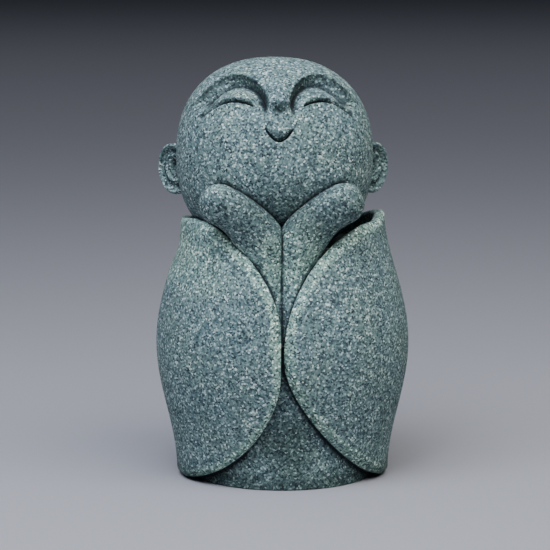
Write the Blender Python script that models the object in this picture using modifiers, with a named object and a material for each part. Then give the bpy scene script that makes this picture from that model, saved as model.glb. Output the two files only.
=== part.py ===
"""Little monk statue, cast in one piece from stone grit bound with resin.

A round smiling head rests on two raised mitten hands that rise out of a barrel-shaped robe. The
robe's two sleeves meet at the front: above the meeting point they part round the hands, below it
they part over a plain round skirt. Metres, +Z up, the figure looks along -Y, and the origin is
the middle of the underside. Every proportion is a share of the figure's own height.
"""

import math

import bmesh
import bpy
import numpy as np
from mathutils import Matrix

# Driving dimensions, in metres.
HEIGHT = 0.1252          # floor to crown
FOLD_WALL = 0.0056       # depth of the sleeve edges over the skirt and the hands
COLLAR_WALL = 0.0034     # thickness of the robe where it stands free round the neck
HEM_GAP = 0.0010         # the hem's height over the floor
BROW_DEPTH = 0.0015      # how deep the lids sit under the brow line
EYE_SLIT = 0.0009        # width of the closed eyes
EYE_DEPTH = 0.0008
MOUTH_DEPTH = 0.0015
MOUTH_CORNER = 0.0009    # how thick the smile still is at its corners

# Robe: half widths and half depths at the hem, at its widest and at the collar.
HEM_HALF = np.array((0.258, 0.234)) * HEIGHT
WIDEST_HALF = np.array((0.3075, 0.2740)) * HEIGHT
COLLAR_HALF = np.array((0.2436, 0.2316)) * HEIGHT
BACK_FULL = 0.0145 * HEIGHT  # how much deeper the robe is behind than in front
WIDEST_Z = 0.304 * HEIGHT
COLLAR_Z = 0.623 * HEIGHT
COLLAR_BACK_Z = 0.585 * HEIGHT
COLLAR_DIP = (90.0, 165.0)  # degrees between which the collar dips behind the head
LOWER_SWELL = 1.12       # powers of the two cosine profiles that join those three
UPPER_SWELL = 0.80

# The two front edges. Angles run round the robe's axis in degrees, from the front, +X positive.
# An edge leaves the meeting angle straight up and down, and turns into the collar and the hem.
# The corner is the collar's height at the side of the figure.
LEFT = {
    "side": -1.0, "meet": -4.4, "lift": 0.0096 * HEIGHT, "corner": 0.619 * HEIGHT,
    "collar": 0.626 * HEIGHT, "up_reach": 62.0, "drop": 0.250 * HEIGHT, "up_power": 0.568,
    "down_reach": 72.0, "rise": 0.276 * HEIGHT, "down_power": 0.55,
}
RIGHT = {
    "side": 1.0, "meet": -3.0, "lift": -0.0016 * HEIGHT, "corner": 0.634 * HEIGHT,
    "collar": 0.623 * HEIGHT, "up_reach": 62.0, "drop": 0.288 * HEIGHT, "up_power": 0.550,
    "down_reach": 74.0, "rise": 0.300 * HEIGHT, "down_power": 0.645,
}
LIFT_SPREAD = 16.0       # degrees over which a raised front edge runs back into the robe
COLUMNS_BUNCH = 1.6      # power that crowds the robe's columns towards the front edges
RIM_CREASE = 0.60        # how sharp the robe's outer edge stays when it is rounded
ROWS_BUNCH = 0.7         # share of cosine spacing that crowds its rows towards collar and hem

# Body inside the robe: the skirt below, the floor of the collar above.
FOOT_RADIUS = 0.2157 * HEIGHT
SKIRT_RECESS = 0.0325 * HEIGHT
NECK_RECESS = 0.0160 * HEIGHT
NECK_Z = 0.560 * HEIGHT
BOSOM_HOLLOW = 0.070 * HEIGHT
BOSOM_ANGLE = (22.0, 40.0)
BOSOM_Z = (0.31 * HEIGHT, 0.50 * HEIGHT)

# Head: a rounded box of an egg, and its centre.
HEAD_HALF = np.array((0.2332, 0.2236, 0.2316)) * HEIGHT
HEAD_POWER = 2.3
HEAD_CENTRE = np.array((-0.0200 * HEIGHT, -0.0080 * HEIGHT, HEIGHT - HEAD_HALF[2]))

# Face, as distances from the head's centre: across from the middle of the face, and up.
FACE_MIDDLE = -0.0032 * HEIGHT
BROW_PEAK = np.array((0.0879, 0.1965)) * HEIGHT
BROW_INNER = np.array((0.0639, 0.0671)) * HEIGHT
BROW_INNER_SHARE = 0.4   # share of the brow line that climbs beside the nose
BROW_OUTER_END = 0.198 * HEIGHT
BROW_FALL = 6.66 / HEIGHT
LID_CENTRE = np.array((0.100, 0.080)) * HEIGHT
LID_FADE = 0.058 * HEIGHT
LID_START = 0.20         # share of the brow's depth at the line's inner end
LID_DEEPEN = 0.15        # share of the line over which the rest of the depth comes in
LID_END_POWER = 8        # how late the depth runs out towards the temple
EYE_PEAK = np.array((0.1022, 0.1406)) * HEIGHT
EYE_ENDS = (0.058 * HEIGHT, 0.180 * HEIGHT)
EYE_FALL = 5.7 / HEIGHT
EYE_END_WIDTH = 0.35     # the slit's width at its ends against its middle
EYE_TOOL = 1.5           # width of the eye tool against the slit that it leaves
NOSE_HALF = np.array((0.0240, 0.0260, 0.0620)) * HEIGHT
NOSE_Z = 0.1300 * HEIGHT
NOSE_SINK = 0.0125 * HEIGHT
NOSE_FLAT = 0.30         # the nose's underside against its upper side
NOSE_LEAN = 0.5          # share of the forehead's slope that the nose's ridge follows
MOUTH_HALF = 0.0345 * HEIGHT
MOUTH_CORNER_Z = 0.0815 * HEIGHT
MOUTH_DROP = 0.0316 * HEIGHT
MOUTH_LIP = 0.40         # share of the smile's drop that the upper lip takes back
CARVE_OUT = 0.048 * HEIGHT   # how far the carving tools stand out of the face
CARVE_CLEAR = 0.15       # share of its depth by which a tool clears the face where a cut ends

# Ears: an upright disc turned half forward, with its rim, groove and hollow.
EAR_CENTRE = np.array((0.2350, 0.0120, -0.0290)) * HEIGHT
EAR_HALF = np.array((0.0450, 0.0570)) * HEIGHT
EAR_LOBE_DROP = 1.12     # the lower half's height against the upper half's
EAR_SQUARE = (2.4, 2.2)  # powers of the upper and the lower half's outline: 2 is an ellipse
EAR_TURN = 40.0
EAR_BACK = 0.0200 * HEIGHT
EAR_RIM = (0.0120 * HEIGHT, 0.91, 0.11)      # height, then place and spread in the ear's radius
EAR_RIDGE = (0.0085 * HEIGHT, 0.50, 0.10)
EAR_HOLLOW = (0.0200 * HEIGHT, 0.38)         # depth, and reach in the ear's radius
EAR_LOBE_PULL = 0.0040 * HEIGHT

# Hands: a bent spine from the sleeves to the rounded tips, mirrored about the line between them.
HAND_LINE = -0.0175 * HEIGHT
HAND_SPINE = np.array((
    (0.0250, -0.1870, 0.336),
    (0.0305, -0.1550, 0.511),
    (0.0300, -0.2140, 0.626),
    (0.1440, -0.2110, 0.673),
)) * HEIGHT
HAND_HALF_LOW = np.array((0.0350, 0.0400)) * HEIGHT
HAND_HALF_MID = np.array((0.0560, 0.0430)) * HEIGHT
HAND_HALF_TIP = np.array((0.0470, 0.0420)) * HEIGHT
HAND_SQUARE = 2.5        # power of a hand's cross-section: 2 is an ellipse
HAND_ROLL = math.radians(-26.0)  # the hands turn their backs a little outwards
HAND_HEEL = 0.0120 * HEIGHT      # the heels swell towards each other under the chin
HAND_HEEL_AT = 0.61
HAND_HEEL_SPREAD = 0.12
HAND_MID_AT = 0.60       # share of the spine where a hand is thickest
HAND_TIP_FROM = 0.68     # share of the hand's length where the rounded tip begins
HAND_ROOT_TO = 0.08

# Faces along and across each shape before they are joined.
ROBE_FACES = (40, 8)
BODY_FACES = (48, 8)
HEAD_FACES = (42, 28)
NOSE_FACES = (12, 8)
HAND_FACES = (14, 16)
EAR_FACES = (18, 14)
SOCKET_FACES = (16, 3)
EYE_FACES = (12, 2)
SMILE_FACES = (12, 4)

STONE = (0.170, 0.230, 0.240, 1.0)
STONE_ROUGHNESS = 0.85
SHADE_ANGLE = math.radians(38.0)


def smooth(x):
    """Ease from 0 to 1 as x goes from 0 to 1, flat at both ends."""
    x = np.clip(x, 0.0, 1.0)
    return x * x * (3.0 - 2.0 * x)


def robe_half(z):
    """Half width and half depth of the robe at height z: two cosine swells that meet at its widest."""
    below = np.clip((WIDEST_Z - z) / (WIDEST_Z - HEM_GAP), 0.0, 1.0)
    above = np.clip((z - WIDEST_Z) / (COLLAR_Z - WIDEST_Z), 0.0, 1.0)
    low = (0.5 + 0.5 * math.cos(math.pi * below)) ** LOWER_SWELL
    high = (0.5 + 0.5 * math.cos(math.pi * above)) ** UPPER_SWELL
    if z < WIDEST_Z:
        return HEM_HALF + (WIDEST_HALF - HEM_HALF) * low
    return COLLAR_HALF + (WIDEST_HALF - COLLAR_HALF) * high


def back_extra(angle):
    """How much deeper the figure is at this angle than its front: all of it right behind."""
    return BACK_FULL * (0.5 - 0.5 * math.cos(angle))


def edge_gap(turn, reach, power):
    """How much of an edge's drop is left at an angle from the meeting line: 1 there, 0 at its reach."""
    return max(0.0, 1.0 - min(turn / reach, 1.0) ** power) ** (1.0 / power)


def robe_point(u, v):
    """Point of the robe: u runs from the right front edge round the back to the left one, v up."""
    front = RIGHT if u < 0.5 else LEFT
    whole = 180.0 + front["side"] * -front["meet"]
    turn = whole * abs(2.0 * min(u, 1.0 - u)) ** COLUMNS_BUNCH
    angle = math.radians(front["meet"] + front["side"] * turn)
    aside = smooth((turn - front["up_reach"]) / (COLLAR_DIP[0] - front["up_reach"]))
    behind = smooth((turn - COLLAR_DIP[0]) / (COLLAR_DIP[1] - COLLAR_DIP[0]))
    collar = front["collar"] + (front["corner"] - front["collar"]) * aside
    collar += (COLLAR_BACK_Z - front["corner"]) * behind
    top = collar - front["drop"] * edge_gap(turn, front["up_reach"], front["up_power"])
    bottom = HEM_GAP + front["rise"] * edge_gap(turn, front["down_reach"], front["down_power"])
    share = ROWS_BUNCH * (0.5 - 0.5 * math.cos(math.pi * v)) + (1.0 - ROWS_BUNCH) * v
    z = bottom + (top - bottom) * share
    lift = front["lift"] * math.exp(-(turn / LIFT_SPREAD) ** 2)
    half = robe_half(z) + lift
    half[1] += back_extra(angle)
    return half[0] * math.sin(angle), -half[1] * math.cos(angle), z


def body_point(x, y, z):
    """Point of the body for one of a unit drum: an oval inside the robe, round at the foot."""
    height = z * NECK_Z
    angle = math.atan2(x, -y)
    rise = math.sin(min(height / WIDEST_Z, 1.0) * math.pi / 2.0)
    near_neck = smooth((height - BOSOM_Z[0]) / (BOSOM_Z[1] - BOSOM_Z[0]))
    inside = SKIRT_RECESS + (NECK_RECESS - SKIRT_RECESS) * near_neck
    half = FOOT_RADIUS + (robe_half(height) - inside - FOOT_RADIUS) * rise
    half[1] += back_extra(angle) * rise
    open_angle = (BOSOM_ANGLE[1] - abs(math.degrees(angle))) / (BOSOM_ANGLE[1] - BOSOM_ANGLE[0])
    half = half - BOSOM_HOLLOW * near_neck * smooth(open_angle)
    spread = math.hypot(x, y)
    return half[0] * math.sin(angle) * spread, -half[1] * math.cos(angle) * spread, height


def head_point(x, y, z):
    """Point of the head in the direction x, y, z from its centre: a box-like egg."""
    ray = np.array((x, y, z))
    reach = (np.abs(ray / HEAD_HALF) ** HEAD_POWER).sum() ** (-1.0 / HEAD_POWER)
    return HEAD_CENTRE + ray * reach


def face_point(across, up, depth):
    """Point of the face at a distance across and up from the head's centre, sunk by depth."""
    used = abs(across / HEAD_HALF[0]) ** HEAD_POWER + abs(up / HEAD_HALF[2]) ** HEAD_POWER
    front = -HEAD_HALF[1] * max(0.0, 1.0 - used) ** (1.0 / HEAD_POWER)
    ray = np.array((across, front, up))
    return HEAD_CENTRE + ray * (1.0 - depth / np.linalg.norm(ray))


def brow_line(u):
    """The brow line from the nose over its peak to the temple: a quarter oval, then a parabola."""
    if u <= BROW_INNER_SHARE:
        turn = u / BROW_INNER_SHARE * math.pi / 2.0
        return BROW_PEAK - BROW_INNER * (math.cos(turn), 1.0 - math.sin(turn))
    outward = (BROW_OUTER_END - BROW_PEAK[0]) * (u - BROW_INNER_SHARE) / (1.0 - BROW_INNER_SHARE)
    return BROW_PEAK + (outward, -BROW_FALL * outward ** 2)


def lid_cut(side, u, v, w):
    """Tool for an eye socket: deep along the brow line, running out to nothing over the lid."""
    start = brow_line(u)
    to_centre = LID_CENTRE - start
    across, up = start + to_centre / np.linalg.norm(to_centre) * LID_FADE * v
    ends = (1.0 - u ** LID_END_POWER) * min(1.0, LID_START + u / LID_DEEPEN)
    floor = BROW_DEPTH * (1.0 - (1.0 + CARVE_CLEAR) * v) * ends
    return face_point(FACE_MIDDLE + side * across, up, floor - w * CARVE_OUT)


def eye_cut(side, u, v, w):
    """Tool for a closed eye: a thin V-shaped arch, widest in the middle."""
    across = EYE_ENDS[0] + (EYE_ENDS[1] - EYE_ENDS[0]) * u
    middle = EYE_PEAK[1] - EYE_FALL * (across - EYE_PEAK[0]) ** 2
    taper = EYE_END_WIDTH + (1.0 - EYE_END_WIDTH) * math.sin(math.pi * u)
    up = middle + EYE_SLIT * EYE_TOOL * taper * (v - 0.5)
    floor = EYE_DEPTH * taper * (1.0 - 2.0 * EYE_TOOL * abs(v - 0.5))
    return face_point(FACE_MIDDLE + side * across, up, floor - w * CARVE_OUT)


def mouth_cut(u, v, w):
    """Tool for the smile: a crescent that slopes in from the lip above to a sharp lower edge."""
    swing = math.sin((u - 0.5) * math.pi)
    sag = MOUTH_DROP * (1.0 - swing ** 2)
    up = MOUTH_CORNER_Z + MOUTH_CORNER * (0.5 - v) - sag * (MOUTH_LIP + (1.0 - MOUTH_LIP) * v)
    floor = MOUTH_DEPTH * ((1.0 + CARVE_CLEAR) * v - CARVE_CLEAR)
    return face_point(FACE_MIDDLE + MOUTH_HALF * swing, up, floor - w * CARVE_OUT)


def nose_point(x, y, z):
    """The nose: a small egg with a flattened underside, sunk in the face and leaning with it."""
    if z < 0.0:
        z = z * NOSE_FLAT
    centre = face_point(FACE_MIDDLE, NOSE_Z, NOSE_SINK)
    lean = math.atan2(centre[2] - HEAD_CENTRE[2], HEAD_CENTRE[1] - centre[1])
    out, up = -y * NOSE_HALF[1], z * NOSE_HALF[2]
    return (centre[0] + x * NOSE_HALF[0],
            centre[1] - out * math.cos(lean) + up * math.sin(lean) * NOSE_LEAN,
            centre[2] + out * math.sin(lean) + up)


def ear_point(side, x, y, z):
    """An ear: the unit ball's +Z pole looks forward and out, its relief follows the radius."""
    radius, turn = min(math.hypot(x, y), 1.0), math.atan2(y, x)
    power = 2.0 / EAR_SQUARE[0 if y > 0.0 else 1]
    aside = radius * np.sign(math.cos(turn)) * abs(math.cos(turn)) ** power
    above = radius * np.sign(math.sin(turn)) * abs(math.sin(turn)) ** power
    out = EAR_HALF[0] * aside - EAR_LOBE_PULL * smooth(-above)
    up = EAR_HALF[1] * above * (1.0 if y > 0.0 else EAR_LOBE_DROP)
    if z < 0.0:
        face = EAR_BACK * z
    else:
        rim = EAR_RIM[0] * math.exp(-((radius - EAR_RIM[1]) / EAR_RIM[2]) ** 2)
        ridge = EAR_RIDGE[0] * math.exp(-((radius - EAR_RIDGE[1]) / EAR_RIDGE[2]) ** 2)
        face = rim + ridge - EAR_HOLLOW[0] * smooth(1.0 - radius / EAR_HOLLOW[1])
    swing = math.radians(EAR_TURN)
    return (HEAD_CENTRE[0] + side * (EAR_CENTRE[0] + out * math.cos(swing) + face * math.sin(swing)),
            HEAD_CENTRE[1] + EAR_CENTRE[1] + out * math.sin(swing) - face * math.cos(swing),
            HEAD_CENTRE[2] + EAR_CENTRE[2] + up)


def hand_spine(t):
    """Point and direction of a hand's spine: a cubic Bezier curve through its four marks."""
    a, b, c, d = HAND_SPINE
    s = 1.0 - t
    point = s ** 3 * a + 3.0 * s * s * t * b + 3.0 * s * t * t * c + t ** 3 * d
    along = 3.0 * (s * s * (b - a) + 2.0 * s * t * (c - b) + t * t * (d - c))
    return point, along / np.linalg.norm(along)


def hand_point(side, x, y, z):
    """A hand: squared oval sections along the spine, a rounded tip at the ball's +Z pole."""
    share = math.acos(max(-1.0, min(1.0, -z))) / math.pi
    body = (share - HAND_ROOT_TO) / (HAND_TIP_FROM - HAND_ROOT_TO)
    t = min(max(body, 0.0), 1.0)
    point, along = hand_spine(t)
    half = HAND_HALF_LOW + (HAND_HALF_MID - HAND_HALF_LOW) * smooth(t / HAND_MID_AT)
    past = (t - HAND_MID_AT) / (1.0 - HAND_MID_AT)
    half = half + (HAND_HALF_TIP - HAND_HALF_MID) * smooth(past)
    cap = min(max((share - HAND_TIP_FROM) / (1.0 - HAND_TIP_FROM), 0.0), 1.0) * math.pi / 2.0
    point = point + along * half[0] * math.sin(cap)
    close = math.cos(cap) * min(1.0, math.sqrt(max(0.0, share / HAND_ROOT_TO)))
    turn = math.atan2(y, x)
    wide = np.sign(math.cos(turn)) * abs(math.cos(turn)) ** (2.0 / HAND_SQUARE)
    deep = np.sign(math.sin(turn)) * abs(math.sin(turn)) ** (2.0 / HAND_SQUARE)
    across = np.cross((math.sin(HAND_ROLL), math.cos(HAND_ROLL), 0.0), along)
    across = across / np.linalg.norm(across)
    forward = np.cross(along, across)
    if wide < 0.0:
        half[0] += HAND_HEEL * math.exp(-((t - HAND_HEEL_AT) / HAND_HEEL_SPREAD) ** 2)
    point = point + across * wide * half[0] * close + forward * deep * half[1] * close
    return HAND_LINE + side * point[0], point[1], point[2]


def new_object(name, shape, collection, place):
    """Put a bmesh primitive into the scene, with every vertex moved to where place says.

    A closed shape that the move has turned inside out is turned back.
    """
    for vert in shape.verts:
        vert.co = [float(value) for value in place(*vert.co)]
    if shape.calc_volume(signed=True) < 0.0:
        bmesh.ops.reverse_faces(shape, faces=shape.faces)
    mesh = bpy.data.meshes.new(name)
    shape.to_mesh(mesh)
    shape.free()
    obj = bpy.data.objects.new(name, mesh)
    collection.objects.link(obj)
    return obj


def guide(name, shape, collection, place):
    """A shape that only builds or cuts the statue."""
    obj = new_object(name, shape, collection, place)
    obj.hide_render = True
    obj.display_type = "WIRE"
    return obj


def ball(around, down):
    """Unit ball."""
    shape = bmesh.new()
    bmesh.ops.create_uvsphere(shape, u_segments=around, v_segments=down, radius=1.0)
    return shape


def sheet(across, up):
    """Unit square of across by up faces."""
    shape = bmesh.new()
    bmesh.ops.create_grid(shape, x_segments=across, y_segments=up, size=0.5)
    bmesh.ops.translate(shape, verts=shape.verts, vec=(0.5, 0.5, 0.0))
    return shape


def slab(across, up):
    """Unit cube cut into across by up columns of faces."""
    shape = sheet(across, up)
    raised = bmesh.ops.extrude_face_region(shape, geom=shape.faces[:])
    verts = [item for item in raised["geom"] if isinstance(item, bmesh.types.BMVert)]
    bmesh.ops.translate(shape, verts=verts, vec=(0.0, 0.0, 1.0))
    return shape


def drum(around, up):
    """Unit drum with its foot at the origin, cut into up rings."""
    shape = bmesh.new()
    bmesh.ops.create_cone(shape, cap_ends=True, segments=around, radius1=1.0, radius2=1.0,
                          depth=1.0, matrix=Matrix.Translation((0.0, 0.0, 0.5)))
    for ring in range(1, up):
        geometry = shape.verts[:] + shape.edges[:] + shape.faces[:]
        bmesh.ops.bisect_plane(shape, geom=geometry, plane_co=(0.0, 0.0, ring / up),
                               plane_no=(0.0, 0.0, 1.0))
    return shape


def carve(target, tool):
    """Cut a shape away."""
    step = target.modifiers.new(f"carve {tool.name}", "BOOLEAN")
    step.operation = "DIFFERENCE"
    step.object = tool
    step.solver = "EXACT"


def join(target, tool):
    """Add a closed shape to another.

    The robe's inner face grazes the body, where the exact solver loses faces, so the closed
    meshes are joined by the manifold one.
    """
    step = target.modifiers.new(f"join {tool.name}", "BOOLEAN")
    step.operation = "UNION"
    step.object = tool
    step.solver = "MANIFOLD"


def build_robe(collection):
    """The robe: an open sheet given its wall, with the rim rounded by subdivision."""
    robe = guide("robe", sheet(*ROBE_FACES), collection, lambda x, y, z: robe_point(x, y))
    thin = robe.vertex_groups.new(name="full wall")
    for vert in robe.data.vertices:
        above = (vert.co.z - BOSOM_Z[1]) / (NECK_Z - BOSOM_Z[1])
        thin.add([vert.index], float(1.0 - smooth(above)), "REPLACE")
    wall = robe.modifiers.new("wall", "SOLIDIFY")
    wall.thickness = FOLD_WALL
    wall.offset = -1.0
    wall.vertex_group = thin.name
    wall.thickness_vertex_group = COLLAR_WALL / FOLD_WALL
    wall.edge_crease_outer = RIM_CREASE
    rounding = robe.modifiers.new("rounding", "SUBSURF")
    rounding.levels = 1
    rounding.render_levels = 1
    return robe


def build_head(collection):
    """The head: the egg, the nose added, then the sockets, the closed eyes and the smile cut."""
    head = guide("head", ball(*HEAD_FACES), collection, head_point)
    nose = guide("nose", ball(*NOSE_FACES), collection, nose_point)
    cuts = []
    for side, word in ((-1.0, "left"), (1.0, "right")):
        cuts.append(guide(f"{word}_socket", slab(*SOCKET_FACES), collection,
                          lambda u, v, w, s=side: lid_cut(s, u, v, w)))
        cuts.append(guide(f"{word}_eye", slab(*EYE_FACES), collection,
                          lambda u, v, w, s=side: eye_cut(s, u, v, w)))
    cuts.append(guide("smile", slab(*SMILE_FACES), collection, mouth_cut))
    for tool in cuts:
        carve(head, tool)
    join(head, nose)
    return head


def build_statue(parts, guides):
    """The whole casting: the body, with the robe, hands, ears and head joined to it."""
    statue = new_object("monk_statue", drum(*BODY_FACES), parts, body_point)
    join(statue, build_robe(guides))
    for side, word in ((-1.0, "left"), (1.0, "right")):
        hand = guide(f"{word}_hand", ball(*HAND_FACES), guides,
                     lambda x, y, z, s=side: hand_point(s, x, y, z))
        join(statue, hand)
    join(statue, build_head(guides))
    for side, word in ((-1.0, "left"), (1.0, "right")):
        ear = guide(f"{word}_ear", ball(*EAR_FACES), guides,
                    lambda x, y, z, s=side: ear_point(s, x, y, z))
        join(statue, ear)
    return statue


def stone():
    """Cast stone: matt blue-green grey."""
    material = bpy.data.materials.new("cast_stone")
    material.use_nodes = True
    shader = material.node_tree.nodes["Principled BSDF"]
    shader.inputs["Base Color"].default_value = STONE
    shader.inputs["Roughness"].default_value = STONE_ROUGHNESS
    shader.inputs["Metallic"].default_value = 0.0
    return material


for old in list(bpy.data.objects):
    bpy.data.objects.remove(old, do_unlink=True)

statue_collection = bpy.data.collections.new("monk statue")
guide_collection = bpy.data.collections.new("guides")
bpy.context.scene.collection.children.link(statue_collection)
bpy.context.scene.collection.children.link(guide_collection)
figure = build_statue(statue_collection, guide_collection)
figure.data.materials.append(stone())
figure.data.shade_smooth()
figure.data.set_sharp_from_angle(angle=SHADE_ANGLE)
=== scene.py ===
"""Looks of the little monk statue, one casting of stone grit and resin, round its CAD frame."""

import bmesh
import bpy
import numpy as np
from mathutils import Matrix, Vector


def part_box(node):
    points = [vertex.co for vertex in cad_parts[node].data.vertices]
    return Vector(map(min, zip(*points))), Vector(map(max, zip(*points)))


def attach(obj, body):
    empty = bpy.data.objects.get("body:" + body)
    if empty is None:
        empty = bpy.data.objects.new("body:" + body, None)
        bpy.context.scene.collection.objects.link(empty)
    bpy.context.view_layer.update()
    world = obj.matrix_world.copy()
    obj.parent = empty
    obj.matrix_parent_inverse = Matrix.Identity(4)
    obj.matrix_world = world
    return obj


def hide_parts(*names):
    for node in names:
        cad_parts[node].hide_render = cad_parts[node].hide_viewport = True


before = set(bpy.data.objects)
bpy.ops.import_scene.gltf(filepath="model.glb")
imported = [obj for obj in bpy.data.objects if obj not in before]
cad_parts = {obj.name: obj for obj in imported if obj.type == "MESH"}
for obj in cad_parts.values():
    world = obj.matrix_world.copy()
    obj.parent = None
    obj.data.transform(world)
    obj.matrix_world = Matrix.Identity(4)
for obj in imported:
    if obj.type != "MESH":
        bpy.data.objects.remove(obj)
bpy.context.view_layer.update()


# The robe. The real figure comes out of one mould, so each part of it is made here as a closed
# shape and they are all joined into one mesh further down. The robe is a barrel-shaped shell that
# is open at the front, where its two rounded edges sweep from the collar down to the hem.
low_corner, high_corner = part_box("monk_statue")
HEIGHT = high_corner[2] - low_corner[2]
HEM_GAP = 0.0010
HEM_HALF = np.array((0.2548, 0.234)) * HEIGHT
WIDEST_HALF = np.array((0.3030, 0.2740)) * HEIGHT
COLLAR_HALF = np.array((0.2432, 0.2316)) * HEIGHT
WIDEST_Z = 0.3195 * HEIGHT
COLLAR_Z, COLLAR_BACK_Z = 0.623 * HEIGHT, 0.585 * HEIGHT
COLLAR_DIP = (90.0, 165.0)
NECK_Z = 0.560 * HEIGHT
LOWER_SWELL, UPPER_SWELL = 1.00, 0.80
BACK_FULL = 0.0080 * HEIGHT
FOLD_WALL, COLLAR_WALL = 0.0056, 0.0034
WALL_THINS_Z = (0.50 * HEIGHT, 0.56 * HEIGHT)
RIM_UP, RIM_DOWN = np.array((0.0024, 0.0025)), np.array((0.0014, 0.0026))
RIM_ASIDE, RIM_TURNS = 0.0009, (45.0, 85.0)
INNER_RIM = 0.0010
RIM_CHANGES_FROM, RIM_CHANGES_OVER = 0.35, 0.3
RIM_SLOPE, RIM_POWER = 0.58, 1.15
SLOPE_STEP = 0.5

# One row for each front edge, left then right: side, meeting angle, how far it stands proud, and
# the collar's height at the side of the figure. Then collar height, reach, drop and power of the
# edge going up, and reach, rise and power going down.
EDGES = np.array((
    (-1.0, -4.4, 0.0125 * HEIGHT, 0.619 * HEIGHT,
     0.626 * HEIGHT, 62.0, 0.250 * HEIGHT, 0.568, 72.0, 0.276 * HEIGHT, 0.55),
    (1.0, -3.0, -0.0016 * HEIGHT, 0.634 * HEIGHT,
     0.618 * HEIGHT, 62.0, 0.283 * HEIGHT, 0.555, 74.0, 0.300 * HEIGHT, 0.645),
))
PROUD_SPREAD = 26.0
LEFT_PINCH = (0.0008, 0.552 * HEIGHT, 0.040 * HEIGHT)
COLUMNS_BUNCH, ROWS_BUNCH = 1.6, 0.7
ROBE_GRID = (281, 80)


def ease(x):
    """Cubic step: 3x² - 2x³ between 0 and 1, flat outside."""
    x = np.clip(x, 0.0, 1.0)
    return x * x * (3.0 - 2.0 * x)


def closed_shape(name, rings):
    """A tube through the rings, an array of ring by point by coordinate, with a fan at each end."""
    count, around = rings.shape[:2]
    points = np.concatenate((rings.reshape(-1, 3), rings[:1].mean(axis=1), rings[-1:].mean(axis=1)))
    number = np.arange(count * around).reshape(count, around)
    after = np.roll(number, -1, axis=1)
    quads = np.stack((number[:-1], after[:-1], after[1:], number[1:]), axis=-1).reshape(-1, 4)
    first = np.stack((after[0], number[0], np.full(around, count * around)), axis=-1)
    last = np.stack((number[-1], after[-1], np.full(around, count * around + 1)), axis=-1)
    mesh = bpy.data.meshes.new(name)
    mesh.from_pydata(points.tolist(), [], quads.tolist() + first.tolist() + last.tolist())
    shape = bmesh.new()
    shape.from_mesh(mesh)
    if shape.calc_volume(signed=True) < 0.0:
        bmesh.ops.reverse_faces(shape, faces=shape.faces)
    shape.to_mesh(mesh)
    shape.free()
    piece = bpy.data.objects.new(name, mesh)
    bpy.context.scene.collection.objects.link(piece)
    return piece


def robe_half(z):
    """Half width and depth at height z: hem to widest and widest to collar, each a cosine raised."""
    below = np.clip((WIDEST_Z - z) / (WIDEST_Z - HEM_GAP), 0.0, 1.0)
    above = np.clip((z - WIDEST_Z) / (COLLAR_Z - WIDEST_Z), 0.0, 1.0)
    low = (0.5 + 0.5 * np.cos(np.pi * below)) ** LOWER_SWELL
    high = (0.5 + 0.5 * np.cos(np.pi * above)) ** UPPER_SWELL
    under = (z < WIDEST_Z)[..., None]
    end = np.where(under, HEM_HALF, COLLAR_HALF)
    return end + (WIDEST_HALF - end) * np.where(under, low[..., None], high[..., None])


def robe_oval(angle, z, proud):
    """Point of the outer surface: an oval of the robe's half sizes, fuller behind, plus proud.

    On the left it is pinched below the collar by a bell curve of the height.
    """
    half = robe_half(z) + proud[..., None]
    depth = half[..., 1] + BACK_FULL * (0.5 - 0.5 * np.cos(angle))
    pinch = LEFT_PINCH[0] * np.exp(-((z - LEFT_PINCH[1]) / LEFT_PINCH[2]) ** 2)
    pinch = pinch * ease(-np.sin(angle))
    return np.stack(((half[..., 0] - pinch) * np.sin(angle), -depth * np.cos(angle), z), axis=-1)


def edge_gap(turn, reach, power):
    """Share of an edge's drop left at a turn: (1 - (turn/reach)^p)^(1/p), 1 at the meeting line."""
    return np.maximum(0.0, 1.0 - np.minimum(turn / reach, 1.0) ** power) ** (1.0 / power)


def edge_heights(which, turn):
    """Heights of the shell's upper and lower boundary at a turn from the meeting line."""
    row = np.moveaxis(EDGES[which], -1, 0)
    corner, collar, up_reach, drop, up_power, down_reach, rise, down_power = row[3:]
    aside = ease((turn - up_reach) / (COLLAR_DIP[0] - up_reach))
    behind = ease((turn - COLLAR_DIP[0]) / (COLLAR_DIP[1] - COLLAR_DIP[0]))
    top = collar + (corner - collar) * aside + (COLLAR_BACK_Z - corner) * behind
    top = top - drop * edge_gap(turn, up_reach, up_power)
    return top, HEM_GAP + rise * edge_gap(turn, down_reach, down_power)


def rim_distance(which, turn, z):
    """Distance from the nearest boundary of the shell, and the width of its chamfer there."""
    top, bottom = edge_heights(which, turn)
    near = [edge_heights(which, np.maximum(turn + step, 0.0)) for step in (-SLOPE_STEP, SLOPE_STEP)]
    arc = np.radians(np.minimum(turn + SLOPE_STEP, 2.0 * SLOPE_STEP)) * WIDEST_HALF[0]
    slope_top, slope_low = ((after - before) / arc for before, after in zip(*near))
    from_top = (top - z) / np.hypot(1.0, slope_top)
    from_bottom = (z - bottom) / np.hypot(1.0, slope_low)
    inside = np.minimum(np.minimum(from_top, from_bottom), np.radians(turn) * WIDEST_HALF[0])
    share = (z - bottom) / np.maximum(top - bottom, 1e-6)
    upper = ease((share - RIM_CHANGES_FROM) / RIM_CHANGES_OVER)
    aside = ease((turn - RIM_TURNS[0]) / (RIM_TURNS[1] - RIM_TURNS[0]))
    width = RIM_DOWN[which] + (RIM_UP - RIM_DOWN)[which] * upper
    width = width + (RIM_ASIDE - width) * aside
    return inside, width


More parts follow.
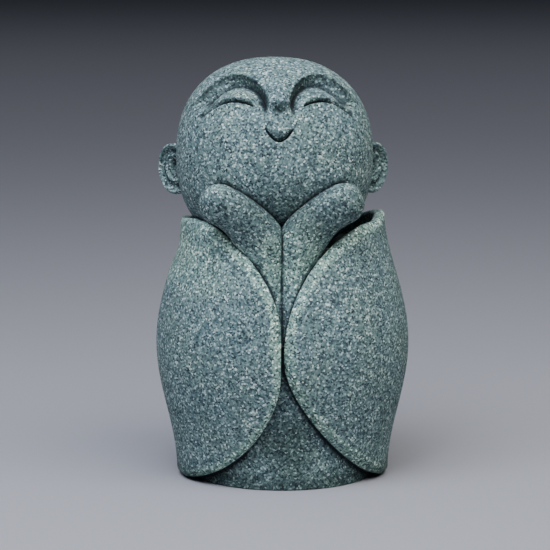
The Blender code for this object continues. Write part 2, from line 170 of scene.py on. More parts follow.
def robe_rings(columns, rows):
    """One ring for each column: up the outer face, over the collar, down the inner face.

    Columns run from the right front edge round the back to the left one, crowded towards the
    edges. Near the shell's boundary the faces sink along the surface normal, by s times
    1 - (1 - (1 - d/r)^p)^(1/p) at distance d, which makes the rim a soft chamfer r wide, s deep.
    """
    u = np.linspace(0.0, 1.0, columns)[:, None]
    v = np.linspace(0.0, 1.0, rows)[None, :]
    which = (u < 0.5).astype(int)
    side, meet, proud = np.moveaxis(EDGES[which], -1, 0)[:3]
    turn = (180.0 - side * meet) * np.abs(2.0 * np.minimum(u, 1.0 - u)) ** COLUMNS_BUNCH
    angle = np.radians(meet + side * turn)
    top, bottom = edge_heights(which, turn)
    share = ROWS_BUNCH * (0.5 - 0.5 * np.cos(np.pi * v)) + (1.0 - ROWS_BUNCH) * v
    z = bottom + (top - bottom) * share
    angle = angle + 0.0 * z
    proud = proud * np.exp(-(turn / PROUD_SPREAD) ** 2) + 0.0 * z

    outer = robe_oval(angle, z, proud)
    step = 1e-4
    round_it = robe_oval(angle + step, z, proud) - robe_oval(angle - step, z, proud)
    up_it = robe_oval(angle, z + step * HEIGHT, proud) - robe_oval(angle, z - step * HEIGHT, proud)
    normal = np.cross(round_it, up_it)
    normal /= np.linalg.norm(normal, axis=-1, keepdims=True)
    inside, width = rim_distance(which, turn, z)

    def chamfer(reach, slope):
        near = np.clip(1.0 - inside / reach, 0.0, 1.0)
        return slope * reach * (1.0 - (1.0 - near ** RIM_POWER) ** (1.0 / RIM_POWER))

    thin = ease((z - WALL_THINS_Z[0]) / (WALL_THINS_Z[1] - WALL_THINS_Z[0]))
    wall = FOLD_WALL + (COLLAR_WALL - FOLD_WALL) * thin
    front = outer - normal * chamfer(width, RIM_SLOPE)[..., None]
    inner = outer - normal * (wall - chamfer(INNER_RIM, 1.0))[..., None]
    return np.concatenate((front, inner[:, ::-1]), axis=1)


robe = closed_shape("robe", robe_rings(*ROBE_GRID))


# The body inside the robe: the plain skirt on its round foot, and above it the floor of the
# collar, hollowed in front for the hands. It is part of the same casting.
FOOT_RADIUS = 0.2157 * HEIGHT
FOOT_ARRIS = 0.0005
SKIRT_RECESS, NECK_RECESS = 0.0325 * HEIGHT, 0.0160 * HEIGHT
BOSOM_HOLLOW = 0.070 * HEIGHT
BOSOM_ANGLE = (22.0, 40.0)
BOSOM_Z = (0.31 * HEIGHT, 0.50 * HEIGHT)
BODY_GRID = (180, 60)


def body_rings(around, rows):
    """Ovals that stay inside the robe and ease to a circle at the foot by a sine of the height.

    The lowest ones draw in by a quarter circle, which softens the foot's arris.
    """
    above_arris = np.linspace(FOOT_ARRIS, NECK_Z, rows)[1:]
    z = np.concatenate((np.linspace(0.0, FOOT_ARRIS, 5), above_arris))[:, None]
    angle = np.linspace(-np.pi, np.pi, around, endpoint=False)[None, :]
    rise = np.sin(np.minimum(z / WIDEST_Z, 1.0) * np.pi / 2.0)
    near_neck = ease((z - BOSOM_Z[0]) / (BOSOM_Z[1] - BOSOM_Z[0]))
    inside = SKIRT_RECESS + (NECK_RECESS - SKIRT_RECESS) * near_neck
    open_angle = (BOSOM_ANGLE[1] - np.abs(np.degrees(angle))) / (BOSOM_ANGLE[1] - BOSOM_ANGLE[0])
    arris = FOOT_ARRIS - np.sqrt(FOOT_ARRIS ** 2 - np.clip(FOOT_ARRIS - z, 0.0, FOOT_ARRIS) ** 2)
    shrink = BOSOM_HOLLOW * near_neck * ease(open_angle) + arris
    reach = (robe_half(z) - inside[..., None] - FOOT_RADIUS) * rise[..., None]
    half = FOOT_RADIUS + reach - shrink[..., None]
    depth = half[..., 1] + BACK_FULL * (0.5 - 0.5 * np.cos(angle)) * rise
    return np.stack((half[..., 0] * np.sin(angle), -depth * np.cos(angle), z + 0.0 * angle), axis=-1)


body = closed_shape("body", body_rings(*BODY_GRID))


# The hands: two mittens raised out of the sleeves, their heels together under the chin and their
# rounded tips spread. They are cast with the rest, mirrored about the line between them.
HAND_LINE = -0.0175 * HEIGHT
HAND_SPINE = np.array((
    (0.0250, -0.2300, 0.336),
    (0.0290, -0.1410, 0.511),
    (0.0300, -0.2140, 0.626),
    (0.1440, -0.2110, 0.673),
)) * HEIGHT
HAND_HALF = np.array(((0.0350, 0.0400), (0.0545, 0.0430), (0.0470, 0.0420))) * HEIGHT
HAND_SQUARE = 2.3
HAND_ROLL = np.radians(-33.0)
HAND_HEEL, HAND_HEEL_AT, HAND_HEEL_SPREAD = 0.0120 * HEIGHT, 0.61, 0.12
HAND_MID_AT, HAND_TIP_FROM, HAND_ROOT_TO = 0.60, 0.68, 0.08
HAND_GRID = (64, 72)
LEFT_AND_RIGHT = ((-1.0, "left"), (1.0, "right"))


def hand_rings(side, around, rows):
    """Squared oval sections along a cubic Bezier spine, closed by a half round tip.

    Each section's outline is cos and sin of the turn raised to 2 over the squareness, and the
    heel is a bell curve added along the spine to the side that faces the other hand.
    """
    share = np.linspace(0.002, 0.998, rows)[:, None]
    turn = np.linspace(-np.pi, np.pi, around, endpoint=False)[None, :]
    t = np.clip((share - HAND_ROOT_TO) / (HAND_TIP_FROM - HAND_ROOT_TO), 0.0, 1.0)
    s = 1.0 - t
    a, b, c, d = HAND_SPINE
    spine = s ** 3 * a + 3.0 * s * s * t * b + 3.0 * s * t * t * c + t ** 3 * d
    along = 3.0 * (s * s * (b - a) + 2.0 * s * t * (c - b) + t * t * (d - c))
    along /= np.linalg.norm(along, axis=-1, keepdims=True)
    half = HAND_HALF[0] + (HAND_HALF[1] - HAND_HALF[0]) * ease(t / HAND_MID_AT)
    half = half + (HAND_HALF[2] - HAND_HALF[1]) * ease((t - HAND_MID_AT) / (1.0 - HAND_MID_AT))
    cap = np.clip((share - HAND_TIP_FROM) / (1.0 - HAND_TIP_FROM), 0.0, 1.0) * np.pi / 2.0
    spine = spine + along * half[:, :1] * np.sin(cap)
    close = np.cos(cap) * np.minimum(1.0, np.sqrt(share / HAND_ROOT_TO))
    wide = np.sign(np.cos(turn)) * np.abs(np.cos(turn)) ** (2.0 / HAND_SQUARE)
    deep = np.sign(np.sin(turn)) * np.abs(np.sin(turn)) ** (2.0 / HAND_SQUARE)
    across = np.cross((np.sin(HAND_ROLL), np.cos(HAND_ROLL), 0.0), along)
    across /= np.linalg.norm(across, axis=-1, keepdims=True)
    forward = np.cross(along, across)
    heel = HAND_HEEL * np.exp(-((t - HAND_HEEL_AT) / HAND_HEEL_SPREAD) ** 2)
    width = (half[:, :1] + heel * (wide < 0.0)) * wide * close
    height = half[:, 1:] * deep * close
    place = spine[:, None] + across[:, None] * width[..., None]
    place = place + forward[:, None] * height[..., None]
    return place * (side, 1.0, 1.0) + (HAND_LINE, 0.0, 0.0)


hands = [closed_shape(f"{word}_hand", hand_rings(side, *HAND_GRID)) for side, word in LEFT_AND_RIGHT]


# The head: a round box of an egg, with a child's smiling face carved into it. The brow line
# overhangs two shallow sockets, the closed eyes and the smile are cut in, the nose is a drop.
HEAD_HALF = np.array((0.2332, 0.2236, 0.2316)) * HEIGHT
HEAD_POWER = 2.3
HEAD_CENTRE = np.array((-0.0200 * HEIGHT, -0.0080 * HEIGHT, HEIGHT - HEAD_HALF[2]))
FACE_MIDDLE = -0.0032 * HEIGHT
BROW_PEAK = np.array((0.0879, 0.1965)) * HEIGHT
BROW_INNER = np.array((0.0639, 0.0671)) * HEIGHT
BROW_FALL = 6.66 / HEIGHT
BROW_END = (0.165 * HEIGHT, 0.212 * HEIGHT)
BROW_DEPTH, BROW_EDGE = 0.0036, 0.0013
LID_FADE = 0.054 * HEIGHT
LID_CROWN = np.array((0.100, 0.148, 0.066, 0.018)) * HEIGHT
LID_SWELL = 0.0005
SOCKET_FOOT = (0.098 * HEIGHT, 0.148 * HEIGHT)
EYE_PEAK = np.array((0.1022, 0.1406)) * HEIGHT
EYE_ENDS = (0.056 * HEIGHT, 0.182 * HEIGHT)
EYE_FALL_IN, EYE_FALL_OUT = 4.6 / HEIGHT, 6.8 / HEIGHT
EYE_WIDTH, EYE_DEPTH, EYE_END_WIDTH = 0.0011, 0.0018, 0.70
NOSE_TIP_Z, NOSE_FOOT_Z, NOSE_TOP_Z = 0.1360 * HEIGHT, 0.1150 * HEIGHT, 0.2000 * HEIGHT
NOSE_HALF, NOSE_OUT, NOSE_ROUND = (0.0180 * HEIGHT, 0.0260 * HEIGHT), 0.0024, 0.6
MOUTH_HALF, MOUTH_CORNER_Z, MOUTH_DROP = 0.0345 * HEIGHT, 0.0815 * HEIGHT, 0.0316 * HEIGHT
MOUTH_LIP, MOUTH_DEPTH, MOUTH_CORNER, MOUTH_EDGE = 0.42, 0.0026, 0.0008, 0.0005


def brow_inside(across, up):
    """Distance inside the brow line: a quarter oval beside the nose, then a parabola outwards."""
    beside = (BROW_PEAK[0] - across) / BROW_INNER[0]
    above = np.maximum(up - (BROW_PEAK[1] - BROW_INNER[1]), 0.0) / BROW_INNER[1]
    steep = above ** 2 / (beside ** 2 + above ** 2 + 1e-9)
    radius = BROW_INNER[0] + (BROW_INNER[1] - BROW_INNER[0]) * steep
    oval = (1.0 - np.hypot(beside, above)) * radius
    fall = BROW_FALL * (across - BROW_PEAK[0])
    parabola = (BROW_PEAK[1] - fall * (across - BROW_PEAK[0]) - up) / np.hypot(1.0, 2.0 * fall)
    return np.where(across < BROW_PEAK[0], oval, parabola)


def socket_depth(across, up):
    """Depth of the eye sockets: steep just inside the brow line, easing out over the lid."""
    inside = brow_inside(across, up)
    edge = ease((inside + 0.2 * BROW_EDGE) / (1.2 * BROW_EDGE))
    lid = 1.0 - ease(inside / LID_FADE)
    temple = 1.0 - ease((across - BROW_END[0]) / (BROW_END[1] - BROW_END[0]))
    foot = ease((up - SOCKET_FOOT[0]) / (SOCKET_FOOT[1] - SOCKET_FOOT[0]))
    crown = np.hypot((across - LID_CROWN[0]) / LID_CROWN[2], (up - LID_CROWN[1]) / LID_CROWN[3])
    return BROW_DEPTH * edge * lid * temple * foot - LID_SWELL * np.exp(-crown ** 2)


def eye_depth(across, up):
    """Depth of the closed eyes: a bell-shaped groove along a parabola, thinner at its ends."""
    share = (across - EYE_ENDS[0]) / (EYE_ENDS[1] - EYE_ENDS[0])
    taper = EYE_END_WIDTH + (1.0 - EYE_END_WIDTH) * np.sin(np.pi * np.clip(share, 0.0, 1.0)) ** 0.5
    fall = np.where(across < EYE_PEAK[0], EYE_FALL_IN, EYE_FALL_OUT) * (across - EYE_PEAK[0])
    off = (up - EYE_PEAK[1] + fall * (across - EYE_PEAK[0])) / np.hypot(1.0, 2.0 * fall)
    ends = ease(share / 0.05) * ease((1.0 - share) / 0.05)
    return EYE_DEPTH * taper * ends * np.exp(-(off / (0.42 * EYE_WIDTH * taper)) ** 2)


def mouth_depth(across, up):
    """Depth of the smile: a crescent between two parabolas, sloping in from the upper one."""
    share = across / MOUTH_HALF
    sag = MOUTH_DROP * np.maximum(0.0, 1.0 - share ** 2)
    upper = MOUTH_CORNER_Z + 0.5 * MOUTH_CORNER - MOUTH_LIP * sag
    lower = MOUTH_CORNER_Z - 0.5 * MOUTH_CORNER - sag
    slope = ease((upper - up) / (upper - lower) * 0.9)
    edge = ease((up - lower) / MOUTH_EDGE) * ease((1.0 - np.abs(share)) / 0.12)
    return MOUTH_DEPTH * slope * edge


def nose_height(across, up):
    """Height of the nose: a ridge that grows down from the forehead, cut off under its tip.

    Across it is (1 - (x/w)²)^r, and w widens upwards from the nose's foot.
    """
    grown = 1.0 - ease((up - NOSE_TIP_Z) / (NOSE_TOP_Z - NOSE_TIP_Z))
    share = (up - NOSE_FOOT_Z) / (NOSE_TIP_Z - NOSE_FOOT_Z)
    under = ease(share * 0.5 + 0.06) * 2.0
    wide = NOSE_HALF[0] + (NOSE_HALF[1] - NOSE_HALF[0]) * ease(share)
    bridge = np.maximum(1.0 - (across / wide) ** 2, 0.0) ** NOSE_ROUND
    return NOSE_OUT * grown * np.minimum(under, 1.0) * bridge


def head_rings(azimuth, elevation):
    """Rays from the centre that reach (sum |ray/half|^p)^(-1/p), less the carving's depth."""
    a, e = azimuth[None, :], elevation[:, None]
    ray = np.stack((np.cos(e) * np.sin(a), -np.cos(e) * np.cos(a), np.sin(e) + 0.0 * a), axis=-1)
    reach = (np.abs(ray / HEAD_HALF) ** HEAD_POWER).sum(axis=-1, keepdims=True) ** (-1.0 / HEAD_POWER)
    plain = ray * reach
    across, up = plain[..., 0] - FACE_MIDDLE, plain[..., 2]
    depth = socket_depth(np.abs(across), up)
    depth = np.maximum(depth, eye_depth(np.abs(across), up) + 0.6 * depth)
    depth = depth + mouth_depth(across, up) - nose_height(across, up)
    depth = depth * (np.cos(a) > 0.0)
    return HEAD_CENTRE + plain - ray * depth[..., None]


def spread(*runs):
    """Angles in radians: each run is start, end and count, and the last run keeps its end."""
    parts = [np.linspace(start, end, count, endpoint=(start, end, count) == runs[-1])
             for start, end, count in runs]
    return np.radians(np.concatenate(parts))


head_columns = spread((-180.0, -74.0, 27), (-74.0, 74.0, 220), (74.0, 176.0, 26))
head_rows = spread((-86.0, 8.0, 30), (8.0, 60.0, 96), (60.0, 87.0, 10))
head = closed_shape("head", head_rings(head_columns, head_rows))


# The ears: upright discs turned half forward, each with a rolled rim, an inner ridge, a hollow
# and a lobe that runs into the jaw. The back of the ear is a plain shallow dome.
EAR_CENTRE = np.array((0.2350, 0.0120, -0.0290)) * HEIGHT
EAR_HALF = np.array((0.0450, 0.0570)) * HEIGHT
EAR_LOBE_DROP, EAR_LOBE_PULL, EAR_SQUARE = 1.12, 0.0040 * HEIGHT, (2.4, 2.2)
EAR_TURN = np.radians(40.0)
EAR_BACK = 0.0200 * HEIGHT
EAR_RIM = (0.0120 * HEIGHT, 0.91, 0.11)
EAR_RIDGE = (0.0085 * HEIGHT, 0.50, 0.10)
EAR_HOLLOW = (0.0200 * HEIGHT, 0.38)
EAR_GRID = (72, 56)


def ear_rings(side, around, rows):
    """A disc mapped from pole to pole of a ball; its relief is two bell curves of the radius."""
    pole = np.linspace(0.004, 0.996, rows)[:, None] * np.pi
    turn = np.linspace(-np.pi, np.pi, around, endpoint=False)[None, :]
    radius = np.sin(pole) + 0.0 * turn
    power = 2.0 / np.where(np.sin(turn) > 0.0, *EAR_SQUARE)
    aside = radius * np.sign(np.cos(turn)) * np.abs(np.cos(turn)) ** power
    above = radius * np.sign(np.sin(turn)) * np.abs(np.sin(turn)) ** power
    out = EAR_HALF[0] * aside - EAR_LOBE_PULL * ease(-above)
    up = EAR_HALF[1] * above * np.where(above < 0.0, EAR_LOBE_DROP, 1.0)
    rim = EAR_RIM[0] * np.exp(-((radius - EAR_RIM[1]) / EAR_RIM[2]) ** 2)
    ridge = EAR_RIDGE[0] * np.exp(-((radius - EAR_RIDGE[1]) / EAR_RIDGE[2]) ** 2)
    relief = rim + ridge - EAR_HOLLOW[0] * ease(1.0 - radius / EAR_HOLLOW[1])
    lift = np.where(np.cos(pole) < 0.0, EAR_BACK * np.cos(pole), relief)
    x = EAR_CENTRE[0] + out * np.cos(EAR_TURN) + lift * np.sin(EAR_TURN)
    y = EAR_CENTRE[1] + out * np.sin(EAR_TURN) - lift * np.cos(EAR_TURN)
    return HEAD_CENTRE + np.stack((side * x, y, EAR_CENTRE[2] + up), axis=-1)


ears = [closed_shape(f"{word}_ear", ear_rings(side, *EAR_GRID)) for side, word in LEFT_AND_RIGHT]


# The casting: all the parts become one closed skin, as they come out of the mould. Its edges are
# shaded soft, and the undercuts stay sharp. Attributes mark where light and shade are painted into
# the colour: painted shade in hollows, grooves, the carving, the lap, the skirt and at the foot, and
# a painted highlight on the rim, the left shoulder and the hands' heels. Some come from its shape and
# some were placed after the photograph, whose shade they partly hold.
SOFT_ANGLE = np.radians(50.0)
# Blur passes of the hollow measure, which drives the painted shade in grooves and recesses.
HOLLOW_BLUR_PASSES = 3
FINE_CELL, BROAD_CELL = 0.0005, 0.0012
# Depth and fade of the robe's skin mask, and how far the painted highlight reaches past the rim.
ROBE_SKIN_DEPTH, ROBE_MARK_FADE, HIGHLIGHT_PAST_RIM = 0.0021, 0.0006, 1.8
# Painted highlight on the left shoulder, where the light falls.
SHOULDER_FROM, SHOULDER_OVER = 0.440 * HEIGHT, 0.070 * HEIGHT
SHOULDER_ASIDE, SHOULDER_HIGHLIGHT = 0.018, 0.8
# Strengths of the painted shade in the eye lines, the lap, the skirt and at the foot.
EYE_SHADE, LAP_STRENGTH, SKIRT_STRENGTH = 0.7, 0.54, 0.62
FOOT_TOP, FOOT_OVER, FOOT_STRENGTH = 0.007, 0.005, 0.75
# Edge and reach of the painted shadow band under the brow line.
BROW_SHADE_EDGE, BROW_SHADE_REACH = 0.0006, 0.0034

# Soft oval patches: half width, height of the middle and half height. The heels' patch is a painted
# highlight, the lap's, skirt's and nose's are painted shade. The nose's is measured from the
# head's centre, the others from the floor.
HEELS = (0.0125, 0.535 * HEIGHT, 0.0100)
LAP = (0.0270, 0.660 * HEIGHT, 0.0085)
SKIRT = (0.0075, 0.0110, 0.0125)
NOSE_SPOT = (0.0023, 0.0156, 0.0014)


def cast_in_one(name, first, others):
    """Union of closed shapes, written out as one mesh; the shapes themselves are removed."""
    for other in others:
        join = first.modifiers.new(other.name, "BOOLEAN")
        join.operation = "UNION"
        join.solver = "MANIFOLD"
        join.object = other
    view = bpy.context.evaluated_depsgraph_get()
    mesh = bpy.data.meshes.new_from_object(first.evaluated_get(view))
    mesh.name = name
    for shape in (first, *others):
        bpy.data.objects.remove(shape, do_unlink=True)
    whole = bpy.data.objects.new(name, mesh)
    bpy.context.scene.collection.objects.link(whole)
    return whole


def blurred(field, passes):
    """Field averaged over neighbouring cells: each pass is a 1-2-1 filter along the three axes."""
    for _ in range(passes):
        for axis in range(3):
            field = 0.5 * field + 0.25 * (np.roll(field, 1, axis) + np.roll(field, -1, axis))
    return field


def mark_hollows(mesh, name, cell, passes):
    """Store how hollow the skin is at each vertex, as a share of the cell size.

    Every face's area, and its area times its middle, is put into a grid of cells and blurred.
    Their quotient is the middle of the skin round a point, and the hollow is how far that lies
    in front of the point along its normal: positive in grooves, negative on edges.
    """
    count = len(mesh.vertices)
    places, normals = np.empty(count * 3, np.float32), np.empty(count * 3, np.float32)
    mesh.vertices.foreach_get("co", places)
    mesh.vertices.foreach_get("normal", normals)
    places, normals = places.reshape(-1, 3).astype(float), normals.reshape(-1, 3).astype(float)
    faces = len(mesh.polygons)
    middles, areas = np.empty(faces * 3, np.float32), np.empty(faces, np.float32)
    mesh.polygons.foreach_get("center", middles)
    mesh.polygons.foreach_get("area", areas)
    middles = middles.reshape(-1, 3).astype(float)
    start = places.min(axis=0) - cell * (passes + 2)
    size = np.ceil((places.max(axis=0) - start) / cell).astype(int) + passes + 3

    def corners(points):
        base = (points - start) / cell - 0.5
        low = np.floor(base).astype(int)
        part = base - low
        for corner in np.ndindex(2, 2, 2):
            share = np.where(corner, part, 1.0 - part).prod(axis=1)
            yield np.ravel_multi_index(tuple((low + corner).T), size), share

    fields = np.zeros((4, size.prod()))
    for index, share in corners(middles):
        for field, amount in zip(fields, (areas, *(middles.T * areas))):
            field += np.bincount(index, share * amount, minlength=size.prod())
    fields = [blurred(field.reshape(size), passes).ravel() for field in fields]
    found = np.zeros((4, count))
    for index, share in corners(places):
        found += share * np.array([field[index] for field in fields])
    offset = found[1:].T / found[0][:, None] - places
    hollow = (offset * normals).sum(axis=1) / cell
    mesh.attributes.new(name, "FLOAT", "POINT").data.foreach_set("value", hollow.astype(np.float32))


def robe_skin(place):
    """Distance of each place from the robe's edge, the chamfer's width there, and 1 on its skin."""
    half = robe_half(place[:, 2])
    flat = place[:, :2] / half
    turn = np.degrees(np.arctan2(flat[:, 0], -flat[:, 1]))
    which = (turn > EDGES[:, 1].mean()).astype(int)
    turn = np.maximum(EDGES[which, 0] * (turn - EDGES[which, 1]), 0.0)
    inside, width = rim_distance(which, turn, place[:, 2])
    deep = (1.0 - np.hypot(*flat.T)) * half.mean(axis=1)
    return inside, width, ease((ROBE_SKIN_DEPTH - deep) / ROBE_MARK_FADE) * (inside > -ROBE_MARK_FADE)


def soft_patch(across, up, half_width, middle, half_height):
    """An oval patch that fades past its edge: exp(-r^4), where r is the oval's radius."""
    return np.exp(-np.hypot(across / half_width, (up - middle) / half_height) ** 4)


def rim_painted_highlight(place):
    """Painted highlight: 1 on the robe rim's chamfer and the hands' heels, less on the left shoulder.
    """
    inside, width, skin = robe_skin(place)
    rim = skin * ease((width - inside) / ROBE_MARK_FADE + HIGHLIGHT_PAST_RIM)
    high = ease((place[:, 2] - SHOULDER_FROM) / SHOULDER_OVER)
    shoulder = skin * high * ease(-0.5 - place[:, 0] / SHOULDER_ASIDE)
    heels = (1.0 - skin) * soft_patch(place[:, 0], place[:, 2], *HEELS) * (place[:, 1] < 0.0)
    return np.maximum.reduce((rim, SHOULDER_HIGHLIGHT * shoulder, heels))


def carved_painted_shade(place):
    """Painted shade in the carving: a shadow band under the brow line and a spot under the nose.

    Fainter painted shade lies in the eye lines, round the hands below the chin, on the skirt and at
    the foot.
    """
    across, forward, up = (place - HEAD_CENTRE).T
    across = across - FACE_MIDDLE
    inside = brow_inside(np.abs(across), up)
    band = ease(inside / BROW_SHADE_EDGE + 0.7) * (1.0 - ease(inside / BROW_SHADE_REACH))
    band = band * (1.0 - ease((np.abs(across) - BROW_END[0]) / (BROW_END[1] - BROW_END[0])))
    band = band * ease((up - SOCKET_FOOT[0]) / (SOCKET_FOOT[1] - SOCKET_FOOT[0]))
    eyes = EYE_SHADE * eye_depth(np.abs(across), up) / EYE_DEPTH
    spot = soft_patch(across, up, *NOSE_SPOT)
    lap = (1.0 - robe_skin(place)[2]) * soft_patch(place[:, 0], place[:, 2], *LAP)
    skirt = soft_patch(place[:, 0], place[:, 2], *SKIRT)
    foot = ease((FOOT_TOP - place[:, 2]) / FOOT_OVER)
    front = np.maximum.reduce((band, spot, eyes, LAP_STRENGTH * lap, SKIRT_STRENGTH * skirt))
    return np.maximum(front * (forward < 0.0), FOOT_STRENGTH * foot)


def mark(mesh, name, worth):
    """Store a function of the vertices' places as an attribute of the mesh."""
    place = np.empty(len(mesh.vertices) * 3, np.float32)
    mesh.vertices.foreach_get("co", place)
    value = worth(place.reshape(-1, 3).astype(float))
    mesh.attributes.new(name, "FLOAT", "POINT").data.foreach_set("value", value.astype(np.float32))


figure = cast_in_one("monk_figure", body, [robe, *hands, head, *ears])
# Painted shade: how hollow the skin is, used to darken the colour in grooves and recesses.
mark_hollows(figure.data, "fine_hollow_painted_shade", FINE_CELL, HOLLOW_BLUR_PASSES)
mark_hollows(figure.data, "broad_hollow_painted_shade", BROAD_CELL, HOLLOW_BLUR_PASSES)
# Painted highlight: the robe's rim, the left shoulder and the hands' heels made paler.
mark(figure.data, "rim_painted_highlight", rim_painted_highlight)
# Painted shade and shadow: under the brow and nose, in the eye lines, round the hands, on the skirt
# and at the foot.
mark(figure.data, "carved_painted_shade", carved_painted_shade)
figure.data.shade_smooth()
figure.data.set_sharp_from_angle(angle=SOFT_ANGLE)
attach(figure, "root")
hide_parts("monk_statue")


# Cast stone: sand and marble grit in a blue-green resin, poured, cured and blasted matt. The
# grains show as pale and dark specks half a millimetre across, and the surface stays rough.
# Painted shade darkens the hollows, the carving, the lap, the skirt and the foot, and a painted
# highlight makes the rim, the left shoulder and the hands' heels paler and a little yellower.
def linear(code):
    """Linear colour for an sRGB hex code: ((c + 0.055) / 1.055)^2.4, or c / 12.92 near black."""
    value = np.array([int(code[i:i + 2], 16) / 255.0 for i in (1, 3, 5)])
    value = np.where(value > 0.04045, ((value + 0.055) / 1.055) ** 2.4, value / 12.92)
    return (*(float(v) for v in value), 1.0)


def add(nodes, kind, place=None, settings=(), **links):
    """Add a node, set its properties and plain inputs, and link its other inputs by name."""
    node = nodes.new(kind)
    for key, value in dict(settings).items():
        setattr(node, key, value)
    for key, value in (place or {}).items():
        node.inputs[key].default_value = value
    for key, source in links.items():
        nodes.id_data.links.new(source, node.inputs[key.replace("_", " ")])
    return node


GRAIN = 0.00049
FINE_GRAIN = 0.00031
CLOUD = 0.011
PIT, PIT_DEPTH = 0.0007, 0.00025
GRIT_TONES = ((0.00, "#18262b"), (0.14, "#35484c"), (0.30, "#4b5f61"), (0.55, "#5f7573"),
              (0.78, "#758b86"), (0.91, "#93a7a1"), (1.00, "#cfdcd5"))
CLOUD_TONES = ((0.32, "#e8f1fa"), (0.68, "#fbfffb"))
# Painted highlight tone, pale and a little yellow, for the rim, the left shoulder and the hands'
# heels.
HIGHLIGHT_TONE = (1.62, 1.62, 1.42, 1.0)


def set_ramp(ramp, stops):
    """Give a colour ramp its stops, each a place and a colour code."""
    while len(ramp.elements) < len(stops):
        ramp.elements.new(0.5)
    for element, (at, code) in zip(ramp.elements, stops):
        element.position = at
        element.color = linear(code)


def multiplied(nodes, first, second):
    """Product of two colours."""
    mixed = add(nodes, "ShaderNodeMix", {"Factor": 1.0},
                {"data_type": "RGBA", "blend_type": "MULTIPLY"})
    nodes.id_data.links.new(first, mixed.inputs[6])
    nodes.id_data.links.new(second, mixed.inputs[7])
    return mixed.outputs[2]


def cast_stone():
    """Voronoi cells, one grain each: their random value picks binder, pale or dark grit.

    The colour is then multiplied by a tone for each attribute of the casting.
    """
    material = bpy.data.materials.new("cast_stone_grit")
    material.use_nodes = True
    nodes = material.node_tree.nodes
    shader = nodes["Principled BSDF"]
    where = nodes.new("ShaderNodeTexCoord").outputs["Object"]

    grains = add(nodes, "ShaderNodeTexVoronoi", {"Scale": 1.0 / GRAIN}, Vector=where)
    kind = add(nodes, "ShaderNodeSeparateColor", Color=grains.outputs["Color"])
    tone = add(nodes, "ShaderNodeValToRGB", Fac=kind.outputs["Red"])
    set_ramp(tone.color_ramp, GRIT_TONES)
    dust = add(nodes, "ShaderNodeTexVoronoi", {"Scale": 1.0 / FINE_GRAIN}, Vector=where)
    dust_kind = add(nodes, "ShaderNodeSeparateColor", Color=dust.outputs["Color"])
    dust_tone = add(nodes, "ShaderNodeMapRange", {"To Min": 0.80, "To Max": 1.22},
                    Value=dust_kind.outputs["Green"])
    speckled = multiplied(nodes, tone.outputs["Color"], dust_tone.outputs["Result"])

    clouds = add(nodes, "ShaderNodeTexNoise", {"Scale": 1.0 / CLOUD, "Detail": 3.0, "Roughness": 0.6},
                 Vector=where)
    tint = add(nodes, "ShaderNodeValToRGB", Fac=clouds.outputs["Fac"])
    set_ramp(tint.color_ramp, CLOUD_TONES)
    colour = multiplied(nodes, speckled, tint.outputs["Color"])

    # Painted light and shade: the hollow and carved attributes darken the colour as painted shade,
    # the rim attribute lightens it as a painted highlight.
    for name, full_at, tone_there in (("fine_hollow_painted_shade", 0.55, linear("#4d5f6a")),
                                      ("broad_hollow_painted_shade", 1.00, linear("#c2cad2")),
                                      ("rim_painted_highlight", 1.00, HIGHLIGHT_TONE),
                                      ("carved_painted_shade", 1.00, linear("#6f8280"))):
        mark_here = nodes.new("ShaderNodeAttribute")
        mark_here.attribute_name = name
        much = add(nodes, "ShaderNodeMapRange", {"From Max": full_at}, Value=mark_here.outputs["Fac"])
        shade = add(nodes, "ShaderNodeMix", {}, {"data_type": "RGBA"}, Factor=much.outputs["Result"])
        shade.inputs[6].default_value = linear("#ffffff")
        shade.inputs[7].default_value = tone_there
        colour = multiplied(nodes, colour, shade.outputs[2])
    nodes.id_data.links.new(colour, shader.inputs["Base Color"])

    pits = add(nodes, "ShaderNodeTexNoise", {"Scale": 1.0 / PIT, "Detail": 4.0, "Roughness": 0.65},
               Vector=where)
    bump = add(nodes, "ShaderNodeBump", {"Strength": 0.55, "Distance": PIT_DEPTH},
               Height=pits.outputs["Fac"])
    nodes.id_data.links.new(bump.outputs["Normal"], shader.inputs["Normal"])
    shader.inputs["Roughness"].default_value = 0.82
    shader.inputs["Specular IOR Level"].default_value = 0.35
    return material


figure.data.materials.clear()
figure.data.materials.append(cast_stone())


# The floor: a sheet of pale matt card, wide enough to fill the view. It lies a hair below the
# foot, so that the two faces don't coincide.
FLOOR_HALF, FLOOR_GAP = 12.0, 0.00002


def floor_sheet(half, height):
    """A square at the given height, from -half to half both ways."""
    corners = [(-half, -half, height), (half, -half, height),
               (half, half, height), (-half, half, height)]
    mesh = bpy.data.meshes.new("floor")
    mesh.from_pydata(corners, [], [(0, 1, 2, 3)])
    card = bpy.data.materials.new("pale_matt_card")
    card.use_nodes = True
    paper = card.node_tree.nodes["Principled BSDF"]
    paper.inputs["Base Color"].default_value = linear("#8f9197")
    paper.inputs["Roughness"].default_value = 0.9
    mesh.materials.append(card)
    sheet = bpy.data.objects.new("floor", mesh)
    bpy.context.scene.collection.objects.link(sheet)
    return sheet


floor_sheet(FLOOR_HALF, low_corner[2] - FLOOR_GAP)


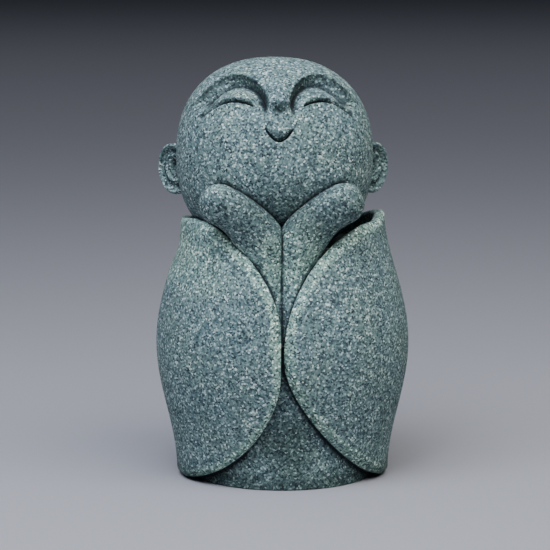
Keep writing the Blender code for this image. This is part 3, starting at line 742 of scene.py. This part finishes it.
# The light and the camera: soft lights high on the left and, weaker, on the right and in front,
# and a wide one overhead, seen at the photograph's angle, from slightly above and to the left.
AIM = Vector((-0.018 * HEIGHT, 0.0, 0.479 * HEIGHT))
CAMERA_AZIMUTH, CAMERA_ELEVATION, CAMERA_DISTANCE = -4.0, 8.0, 0.700
VIEW_WIDTH, SENSOR_WIDTH = 0.165, 36.0


def outward(azimuth, elevation):
    """Direction from the figure: azimuth 0 is in front of it, positive to its +X side."""
    a, e = np.radians(azimuth), np.radians(elevation)
    return Vector((float(np.sin(a) * np.cos(e)), float(-np.cos(a) * np.cos(e)), float(np.sin(e))))


def soft_light(name, azimuth, elevation, distance, size, power, tint):
    """A square studio light that faces the figure."""
    lamp = bpy.data.lights.new(name, "AREA")
    lamp.size = size
    lamp.energy = power
    lamp.color = linear(tint)[:3]
    stand = bpy.data.objects.new(name, lamp)
    to_lamp = outward(azimuth, elevation)
    stand.location = AIM + to_lamp * distance
    stand.rotation_euler = to_lamp.to_track_quat("Z", "Y").to_euler()
    bpy.context.scene.collection.objects.link(stand)


soft_light("left_light", -38.0, 56.0, 0.70, 0.45, 6.2, "#edf0ff")
soft_light("right_light", 40.0, 54.0, 0.70, 0.45, 3.6, "#fffaf2")
soft_light("front_light", -5.0, 42.0, 0.80, 0.45, 2.6, "#f2f7ff")
soft_light("ceiling_light", 0.0, 90.0, 3.0, 6.0, 60.0, "#f6f4ff")

room = bpy.data.worlds.new("room")
room.use_nodes = True
room.node_tree.nodes["Background"].inputs["Color"].default_value = linear("#b9c6d6")
room.node_tree.nodes["Background"].inputs["Strength"].default_value = 0.08
bpy.context.scene.world = room

lens = bpy.data.cameras.new("camera")
lens.sensor_width = SENSOR_WIDTH
lens.lens = SENSOR_WIDTH * CAMERA_DISTANCE / VIEW_WIDTH
lens.clip_start = 0.01
lens.clip_end = 20.0
camera = bpy.data.objects.new("camera", lens)
to_camera = outward(CAMERA_AZIMUTH, CAMERA_ELEVATION)
camera.location = AIM + to_camera * CAMERA_DISTANCE
camera.rotation_euler = to_camera.to_track_quat("Z", "Y").to_euler()
bpy.context.scene.collection.objects.link(camera)
bpy.context.scene.camera = camera
